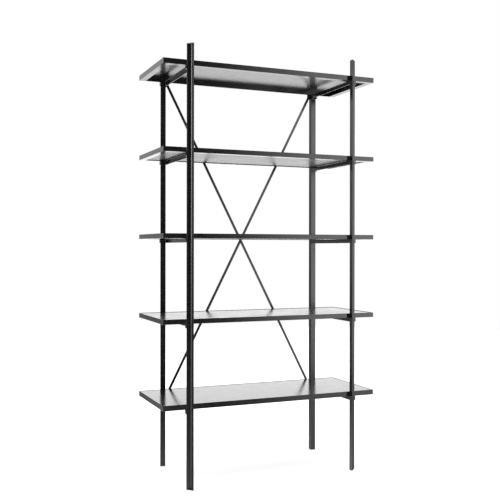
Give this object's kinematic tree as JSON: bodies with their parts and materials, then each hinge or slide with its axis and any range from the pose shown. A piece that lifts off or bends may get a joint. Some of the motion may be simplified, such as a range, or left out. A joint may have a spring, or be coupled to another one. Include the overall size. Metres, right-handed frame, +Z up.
{
  "type": "adjustable shelf bookcase",
  "caption": "Open steel bookcase: angle posts, framed shelves that slide up and down and clamp, and a crossed brace at the back.",
  "frame": {"origin": "on the floor, at the middle of the footprint", "axes": "+Z up, -Y the front, +X to the right as seen from the front"},
  "size_m": [1.07, 0.457, 1.98],
  "materials": {
    "frame_steel": "satin black powder coat",
    "panel": "smooth satin black powder coat",
    "board": "black lacquer, satin",
    "fixings": "blackened"
  },
  "bodies": {
    "frame": {"post_front_left": "frame_steel", "post_rear_left": "frame_steel", "post_front_right": "frame_steel", "post_rear_right": "frame_steel", "top_plate_front_left": "frame_steel", "top_plate_rear_left": "frame_steel", "top_plate_front_right": "frame_steel", "top_plate_rear_right": "frame_steel", "foot_plate_front_left": "frame_steel", "foot_plate_rear_left": "frame_steel", "foot_plate_front_right": "frame_steel", "foot_plate_rear_right": "frame_steel", "brace_falling": "frame_steel", "brace_rising": "frame_steel", "brace_tab_left_top": "frame_steel", "brace_tab_right_bottom": "frame_steel", "brace_tab_right_top": "frame_steel", "brace_tab_left_bottom": "frame_steel", "brace_bolts": "fixings", "brace_rivet": "fixings", "shelf_1_rim": "frame_steel", "shelf_1_ledge": "frame_steel", "shelf_1_panel": "panel", "shelf_1_rail_left": "frame_steel", "shelf_1_rail_right": "frame_steel", "shelf_1_clamps": "frame_steel", "shelf_1_clamp_screws": "fixings", "shelf_5_rim": "frame_steel", "shelf_5_ledge": "frame_steel", "shelf_5_panel": "panel", "shelf_5_rail_left": "frame_steel", "shelf_5_rail_right": "frame_steel", "shelf_5_clamps": "frame_steel", "shelf_5_clamp_screws": "fixings"},
    "shelf_2": {"shelf_2_rim": "frame_steel", "shelf_2_ledge": "frame_steel", "shelf_2_board": "board", "shelf_2_rail_left": "frame_steel", "shelf_2_rail_right": "frame_steel", "shelf_2_clamps": "frame_steel", "shelf_2_clamp_screws": "fixings"},
    "shelf_3": {"shelf_3_rim": "frame_steel", "shelf_3_ledge": "frame_steel", "shelf_3_board": "board", "shelf_3_rail_left": "frame_steel", "shelf_3_rail_right": "frame_steel", "shelf_3_clamps": "frame_steel", "shelf_3_clamp_screws": "fixings"},
    "shelf_4": {"shelf_4_rim": "frame_steel", "shelf_4_ledge": "frame_steel", "shelf_4_board": "board", "shelf_4_rail_left": "frame_steel", "shelf_4_rail_right": "frame_steel", "shelf_4_clamps": "frame_steel", "shelf_4_clamp_screws": "fixings"}
  },
  "joints": [
    {"name": "shelf_2_height", "type": "slide", "parent": "frame", "child": "shelf_2", "axis": [0, 0, 1], "range_m": [-0.15, 0.15]},
    {"name": "shelf_3_height", "type": "slide", "parent": "frame", "child": "shelf_3", "axis": [0, 0, 1], "range_m": [-0.15, 0.15]},
    {"name": "shelf_4_height", "type": "slide", "parent": "frame", "child": "shelf_4", "axis": [0, 0, 1], "range_m": [-0.15, 0.15]}
  ]
}
